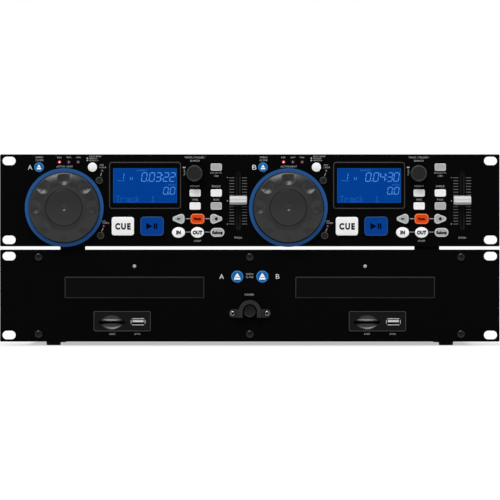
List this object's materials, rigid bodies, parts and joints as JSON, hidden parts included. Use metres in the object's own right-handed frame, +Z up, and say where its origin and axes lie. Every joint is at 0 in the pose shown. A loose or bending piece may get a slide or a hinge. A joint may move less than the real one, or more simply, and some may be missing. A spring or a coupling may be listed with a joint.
{
  "type": "dual disc player",
  "caption": "Rack disc player for DJs: a control unit with jog wheels, displays, faders and keys stands on a player with disc trays, card slots and data sockets.",
  "frame": {"origin": "Middle of the bounding box in X and Y, on the surface under the feet.", "axes": "+X to the right seen from the front, along the width; +Y into the depth, away from the user; +Z up. The panels face -Y."},
  "size_m": [0.4826, 0.2674, 0.1846],
  "materials": {
    "panel_black": "satin black powder coat",
    "sheet_black": "matt black powder coat on folded steel",
    "screen": "backlit blue screen in a black bezel",
    "light_guide": "translucent blue ring and red lamps",
    "board": "green laminate with black parts",
    "rubber": "black rubber",
    "dark_plastic": "dark grey moulded plastic",
    "screw_steel": "black oxide and bright steel",
    "socket_metal": "bright plated shells in black blocks",
    "dial_plastic": "dark grey satin plastic",
    "tray_plastic": "black satin plastic",
    "white_key": "translucent white",
    "blue_key": "translucent blue",
    "grey_key": "light grey",
    "orange_key": "translucent orange",
    "dark_key": "dark grey",
    "fader_cap": "light grey ribbed plastic"
  },
  "bodies": {
    "cabinet": {"control_front_panel": "panel_black", "control_housing": "sheet_black", "displays": "screen", "light_guides": "light_guide", "circuit_boards": "board", "player_front_panel": "panel_black", "player_chassis": "sheet_black", "player_cover": "sheet_black", "rubber_feet": "rubber", "front_fittings": "dark_plastic", "screws": "screw_steel", "sockets": "socket_metal", "disc_drives": "dark_plastic"},
    "jog_wheel_a": {"jog_wheel_a": "dial_plastic"},
    "track_plunger_a": {"track_plunger_a": "dark_plastic"},
    "track_knob_a": {"track_knob_a": "dark_key"},
    "pitch_fader_a": {"pitch_fader_a": "fader_cap"},
    "disc_tray_a": {"disc_tray_a": "tray_plastic"},
    "eject_button_a": {"eject_button_a": "blue_key"},
    "mode_button_a": {"mode_button_a": "white_key"},
    "upper_button_a": {"upper_button_a": "dark_key"},
    "lower_button_a": {"lower_button_a": "dark_key"},
    "cue_button_a": {"cue_button_a": "white_key"},
    "play_button_a": {"play_button_a": "blue_key"},
    "minus_button_a": {"minus_button_a": "grey_key"},
    "pitch_button_a": {"pitch_button_a": "orange_key"},
    "plus_button_a": {"plus_button_a": "grey_key"},
    "loop_in_button_a": {"loop_in_button_a": "white_key"},
    "loop_out_button_a": {"loop_out_button_a": "white_key"},
    "reloop_button_a": {"reloop_button_a": "grey_key"},
    "repeat_button_a": {"repeat_button_a": "white_key"},
    "time_button_a": {"time_button_a": "white_key"},
    "single_button_a": {"single_button_a": "white_key"},
    "program_button_a": {"program_button_a": "grey_key"},
    "source_button_a": {"source_button_a": "grey_key"},
    "jog_wheel_b": {"jog_wheel_b": "dial_plastic"},
    "track_plunger_b": {"track_plunger_b": "dark_plastic"},
    "track_knob_b": {"track_knob_b": "dark_key"},
    "pitch_fader_b": {"pitch_fader_b": "fader_cap"},
    "disc_tray_b": {"disc_tray_b": "tray_plastic"},
    "eject_button_b": {"eject_button_b": "blue_key"},
    "mode_button_b": {"mode_button_b": "white_key"},
    "upper_button_b": {"upper_button_b": "dark_key"},
    "lower_button_b": {"lower_button_b": "dark_key"},
    "cue_button_b": {"cue_button_b": "white_key"},
    "play_button_b": {"play_button_b": "blue_key"},
    "minus_button_b": {"minus_button_b": "grey_key"},
    "pitch_button_b": {"pitch_button_b": "orange_key"},
    "plus_button_b": {"plus_button_b": "grey_key"},
    "loop_in_button_b": {"loop_in_button_b": "white_key"},
    "loop_out_button_b": {"loop_out_button_b": "white_key"},
    "reloop_button_b": {"reloop_button_b": "grey_key"},
    "repeat_button_b": {"repeat_button_b": "white_key"},
    "time_button_b": {"time_button_b": "white_key"},
    "single_button_b": {"single_button_b": "white_key"},
    "program_button_b": {"program_button_b": "grey_key"},
    "source_button_b": {"source_button_b": "grey_key"},
    "tray_button_a": {"tray_button_a": "blue_key"},
    "tray_button_b": {"tray_button_b": "blue_key"},
    "power_button": {"power_button": "dark_key"}
  },
  "joints": [
    {"name": "jog_wheel_a_spin", "type": "hinge", "parent": "cabinet", "child": "jog_wheel_a", "pos_m": [-0.1792, -0.1183, 0.13315], "axis": [0, 1, 0], "continuous": true},
    {"name": "track_plunger_a_press", "type": "slide", "parent": "cabinet", "child": "track_plunger_a", "axis": [0, 1, 0], "range_m": [0, 0.0005], "stiffness_N_per_m": 1200, "springref_m": -0.0003},
    {"name": "track_knob_a_turn", "type": "hinge", "parent": "track_plunger_a", "child": "track_knob_a", "pos_m": [-0.0534, -0.1183, 0.16605], "axis": [0, 1, 0], "continuous": true},
    {"name": "pitch_fader_a_slide", "type": "slide", "parent": "cabinet", "child": "pitch_fader_a", "axis": [0, 0, 1], "range_m": [-0.0225, 0.0225]},
    {"name": "disc_tray_a_slide", "type": "slide", "parent": "cabinet", "child": "disc_tray_a", "axis": [0, -1, 0], "range_m": [0, 0.134]},
    {"name": "eject_button_a_press", "type": "slide", "parent": "cabinet", "child": "eject_button_a", "axis": [0, 1, 0], "range_m": [0, 0.0008], "stiffness_N_per_m": 1200, "springref_m": -0.0003},
    {"name": "mode_button_a_press", "type": "slide", "parent": "cabinet", "child": "mode_button_a", "axis": [0, 1, 0], "range_m": [0, 0.0008], "stiffness_N_per_m": 1200, "springref_m": -0.0003},
    {"name": "upper_button_a_press", "type": "slide", "parent": "cabinet", "child": "upper_button_a", "axis": [0, 1, 0], "range_m": [0, 0.0008], "stiffness_N_per_m": 1200, "springref_m": -0.0003},
    {"name": "lower_button_a_press", "type": "slide", "parent": "cabinet", "child": "lower_button_a", "axis": [0, 1, 0], "range_m": [0, 0.0008], "stiffness_N_per_m": 1200, "springref_m": -0.0003},
    {"name": "cue_button_a_press", "type": "slide", "parent": "cabinet", "child": "cue_button_a", "axis": [0, 1, 0], "range_m": [0, 0.0012], "stiffness_N_per_m": 1200, "springref_m": -0.0003},
    {"name": "play_button_a_press", "type": "slide", "parent": "cabinet", "child": "play_button_a", "axis": [0, 1, 0], "range_m": [0, 0.0012], "stiffness_N_per_m": 1200, "springref_m": -0.0003},
    {"name": "minus_button_a_press", "type": "slide", "parent": "cabinet", "child": "minus_button_a", "axis": [0, 1, 0], "range_m": [0, 0.0008], "stiffness_N_per_m": 1200, "springref_m": -0.0003},
    {"name": "pitch_button_a_press", "type": "slide", "parent": "cabinet", "child": "pitch_button_a", "axis": [0, 1, 0], "range_m": [0, 0.0008], "stiffness_N_per_m": 1200, "springref_m": -0.0003},
    {"name": "plus_button_a_press", "type": "slide", "parent": "cabinet", "child": "plus_button_a", "axis": [0, 1, 0], "range_m": [0, 0.0008], "stiffness_N_per_m": 1200, "springref_m": -0.0003},
    {"name": "loop_in_button_a_press", "type": "slide", "parent": "cabinet", "child": "loop_in_button_a", "axis": [0, 1, 0], "range_m": [0, 0.0008], "stiffness_N_per_m": 1200, "springref_m": -0.0003},
    {"name": "loop_out_button_a_press", "type": "slide", "parent": "cabinet", "child": "loop_out_button_a", "axis": [0, 1, 0], "range_m": [0, 0.0008], "stiffness_N_per_m": 1200, "springref_m": -0.0003},
    {"name": "reloop_button_a_press", "type": "slide", "parent": "cabinet", "child": "reloop_button_a", "axis": [0, 1, 0], "range_m": [0, 0.0008], "stiffness_N_per_m": 1200, "springref_m": -0.0003},
    {"name": "repeat_button_a_press", "type": "slide", "parent": "cabinet", "child": "repeat_button_a", "axis": [0, 1, 0], "range_m": [0, 0.0008], "stiffness_N_per_m": 1200, "springref_m": -0.0003},
    {"name": "time_button_a_press", "type": "slide", "parent": "cabinet", "child": "time_button_a", "axis": [0, 1, 0], "range_m": [0, 0.0008], "stiffness_N_per_m": 1200, "springref_m": -0.0003},
    {"name": "single_button_a_press", "type": "slide", "parent": "cabinet", "child": "single_button_a", "axis": [0, 1, 0], "range_m": [0, 0.0008], "stiffness_N_per_m": 1200, "springref_m": -0.0003},
    {"name": "program_button_a_press", "type": "slide", "parent": "cabinet", "child": "program_button_a", "axis": [0, 1, 0], "range_m": [0, 0.0008], "stiffness_N_per_m": 1200, "springref_m": -0.0003},
    {"name": "source_button_a_press", "type": "slide", "parent": "cabinet", "child": "source_button_a", "axis": [0, 1, 0], "range_m": [0, 0.0008], "stiffness_N_per_m": 1200, "springref_m": -0.0003},
    {"name": "jog_wheel_b_spin", "type": "hinge", "parent": "cabinet", "child": "jog_wheel_b", "pos_m": [0.0372, -0.1183, 0.13315], "axis": [0, 1, 0], "continuous": true},
    {"name": "track_plunger_b_press", "type": "slide", "parent": "cabinet", "child": "track_plunger_b", "axis": [0, 1, 0], "range_m": [0, 0.0005], "stiffness_N_per_m": 1200, "springref_m": -0.0003},
    {"name": "track_knob_b_turn", "type": "hinge", "parent": "track_plunger_b", "child": "track_knob_b", "pos_m": [0.163, -0.1183, 0.16605], "axis": [0, 1, 0], "continuous": true},
    {"name": "pitch_fader_b_slide", "type": "slide", "parent": "cabinet", "child": "pitch_fader_b", "axis": [0, 0, 1], "range_m": [-0.0225, 0.0225]},
    {"name": "disc_tray_b_slide", "type": "slide", "parent": "cabinet", "child": "disc_tray_b", "axis": [0, -1, 0], "range_m": [0, 0.134]},
    {"name": "eject_button_b_press", "type": "slide", "parent": "cabinet", "child": "eject_button_b", "axis": [0, 1, 0], "range_m": [0, 0.0008], "stiffness_N_per_m": 1200, "springref_m": -0.0003},
    {"name": "mode_button_b_press", "type": "slide", "parent": "cabinet", "child": "mode_button_b", "axis": [0, 1, 0], "range_m": [0, 0.0008], "stiffness_N_per_m": 1200, "springref_m": -0.0003},
    {"name": "upper_button_b_press", "type": "slide", "parent": "cabinet", "child": "upper_button_b", "axis": [0, 1, 0], "range_m": [0, 0.0008], "stiffness_N_per_m": 1200, "springref_m": -0.0003},
    {"name": "lower_button_b_press", "type": "slide", "parent": "cabinet", "child": "lower_button_b", "axis": [0, 1, 0], "range_m": [0, 0.0008], "stiffness_N_per_m": 1200, "springref_m": -0.0003},
    {"name": "cue_button_b_press", "type": "slide", "parent": "cabinet", "child": "cue_button_b", "axis": [0, 1, 0], "range_m": [0, 0.0012], "stiffness_N_per_m": 1200, "springref_m": -0.0003},
    {"name": "play_button_b_press", "type": "slide", "parent": "cabinet", "child": "play_button_b", "axis": [0, 1, 0], "range_m": [0, 0.0012], "stiffness_N_per_m": 1200, "springref_m": -0.0003},
    {"name": "minus_button_b_press", "type": "slide", "parent": "cabinet", "child": "minus_button_b", "axis": [0, 1, 0], "range_m": [0, 0.0008], "stiffness_N_per_m": 1200, "springref_m": -0.0003},
    {"name": "pitch_button_b_press", "type": "slide", "parent": "cabinet", "child": "pitch_button_b", "axis": [0, 1, 0], "range_m": [0, 0.0008], "stiffness_N_per_m": 1200, "springref_m": -0.0003},
    {"name": "plus_button_b_press", "type": "slide", "parent": "cabinet", "child": "plus_button_b", "axis": [0, 1, 0], "range_m": [0, 0.0008], "stiffness_N_per_m": 1200, "springref_m": -0.0003},
    {"name": "loop_in_button_b_press", "type": "slide", "parent": "cabinet", "child": "loop_in_button_b", "axis": [0, 1, 0], "range_m": [0, 0.0008], "stiffness_N_per_m": 1200, "springref_m": -0.0003},
    {"name": "loop_out_button_b_press", "type": "slide", "parent": "cabinet", "child": "loop_out_button_b", "axis": [0, 1, 0], "range_m": [0, 0.0008], "stiffness_N_per_m": 1200, "springref_m": -0.0003},
    {"name": "reloop_button_b_press", "type": "slide", "parent": "cabinet", "child": "reloop_button_b", "axis": [0, 1, 0], "range_m": [0, 0.0008], "stiffness_N_per_m": 1200, "springref_m": -0.0003},
    {"name": "repeat_button_b_press", "type": "slide", "parent": "cabinet", "child": "repeat_button_b", "axis": [0, 1, 0], "range_m": [0, 0.0008], "stiffness_N_per_m": 1200, "springref_m": -0.0003},
    {"name": "time_button_b_press", "type": "slide", "parent": "cabinet", "child": "time_button_b", "axis": [0, 1, 0], "range_m": [0, 0.0008], "stiffness_N_per_m": 1200, "springref_m": -0.0003},
    {"name": "single_button_b_press", "type": "slide", "parent": "cabinet", "child": "single_button_b", "axis": [0, 1, 0], "range_m": [0, 0.0008], "stiffness_N_per_m": 1200, "springref_m": -0.0003},
    {"name": "program_button_b_press", "type": "slide", "parent": "cabinet", "child": "program_button_b", "axis": [0, 1, 0], "range_m": [0, 0.0008], "stiffness_N_per_m": 1200, "springref_m": -0.0003},
    {"name": "source_button_b_press", "type": "slide", "parent": "cabinet", "child": "source_button_b", "axis": [0, 1, 0], "range_m": [0, 0.0008], "stiffness_N_per_m": 1200, "springref_m": -0.0003},
    {"name": "tray_button_a_press", "type": "slide", "parent": "cabinet", "child": "tray_button_a", "axis": [0, 1, 0], "range_m": [0, 0.0008], "stiffness_N_per_m": 1200, "springref_m": -0.0003},
    {"name": "tray_button_b_press", "type": "slide", "parent": "cabinet", "child": "tray_button_b", "axis": [0, 1, 0], "range_m": [0, 0.0008], "stiffness_N_per_m": 1200, "springref_m": -0.0003},
    {"name": "power_button_press", "type": "slide", "parent": "cabinet", "child": "power_button", "axis": [0, 1, 0], "range_m": [0, 0.003], "stiffness_N_per_m": 800, "springref_m": -0.0003}
  ]
}
